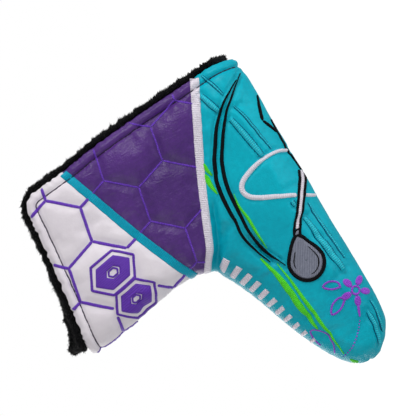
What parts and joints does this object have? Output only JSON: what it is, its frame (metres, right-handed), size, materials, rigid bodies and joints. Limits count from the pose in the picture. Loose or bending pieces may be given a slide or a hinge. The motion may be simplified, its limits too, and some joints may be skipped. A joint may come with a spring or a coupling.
{
  "type": "putter head cover",
  "caption": "Padded L-shaped blade putter cover: closed sole pocket, quilted two-panel neck, plush lining and a mouth whose two corner flaps peel open.",
  "frame": {"origin": "middle of the sole fold's underside, on the plane between the show face and the back face", "axes": "+X from the toe towards the open heel mouth, +Y from the show face towards the back face, +Z from the sole up the neck"},
  "size_m": [0.164, 0.0414, 0.1364],
  "materials": {
    "teal_leather": "semi-gloss synthetic leather",
    "purple_leather": "semi-gloss pebbled synthetic leather",
    "white_leather": "smooth matt synthetic leather",
    "black_plush": "dense soft pile",
    "foam": "open-cell foam sheet",
    "magnet_steel": "plated",
    "white_satin": "satin stitch",
    "teal_satin": "satin stitch",
    "violet_thread": "embroidery thread",
    "black_thread": "embroidery thread",
    "white_thread": "embroidery thread",
    "green_thread": "embroidery thread",
    "grey_thread": "embroidery thread"
  },
  "bodies": {
    "pocket": {"teal_shell": "teal_leather", "front_purple_panel": "purple_leather", "rear_purple_panel": "purple_leather", "front_white_panel": "white_leather", "rear_white_panel": "white_leather", "padding_bag": "foam", "plush_bag": "black_plush", "front_neck_padding": "foam", "rear_neck_padding": "foam", "front_neck_plush": "black_plush", "rear_neck_plush": "black_plush", "front_white_band": "white_satin", "rear_white_band": "white_satin", "front_teal_band": "teal_satin", "rear_teal_band": "teal_satin", "front_quilting": "violet_thread", "rear_quilting": "violet_thread", "hem_thread": "black_thread", "front_sweeps": "black_thread", "front_loop": "white_thread", "front_blades": "green_thread", "front_club_head": "grey_thread", "front_club_shaft": "white_thread", "front_sprig": "violet_thread", "front_teal_stripes": "teal_satin", "front_edge_bars": "white_thread", "front_badge_upper": "violet_thread", "front_badge_lower": "violet_thread"},
    "front_flap": {"front_flap_purple": "purple_leather", "front_flap_white": "white_leather", "front_flap_band": "teal_satin", "front_flap_quilting": "violet_thread", "front_flap_hem": "black_thread", "front_flap_padding": "foam", "front_flap_plush": "black_plush", "front_flap_magnet": "magnet_steel"},
    "rear_flap": {"rear_flap_purple": "purple_leather", "rear_flap_white": "white_leather", "rear_flap_band": "teal_satin", "rear_flap_quilting": "violet_thread", "rear_flap_hem": "black_thread", "rear_flap_padding": "foam", "rear_flap_plush": "black_plush", "rear_flap_magnet": "magnet_steel"}
  },
  "joints": [
    {"name": "front_flap_swing", "type": "hinge", "parent": "pocket", "child": "front_flap", "pos_m": [0.0541, -0.0212, 0.0768], "axis": [0.4328, 0, -0.9015], "range_deg": [0, 70]},
    {"name": "rear_flap_swing", "type": "hinge", "parent": "pocket", "child": "rear_flap", "pos_m": [0.0541, 0.0212, 0.0768], "axis": [-0.4328, 0, 0.9015], "range_deg": [0, 70]}
  ]
}
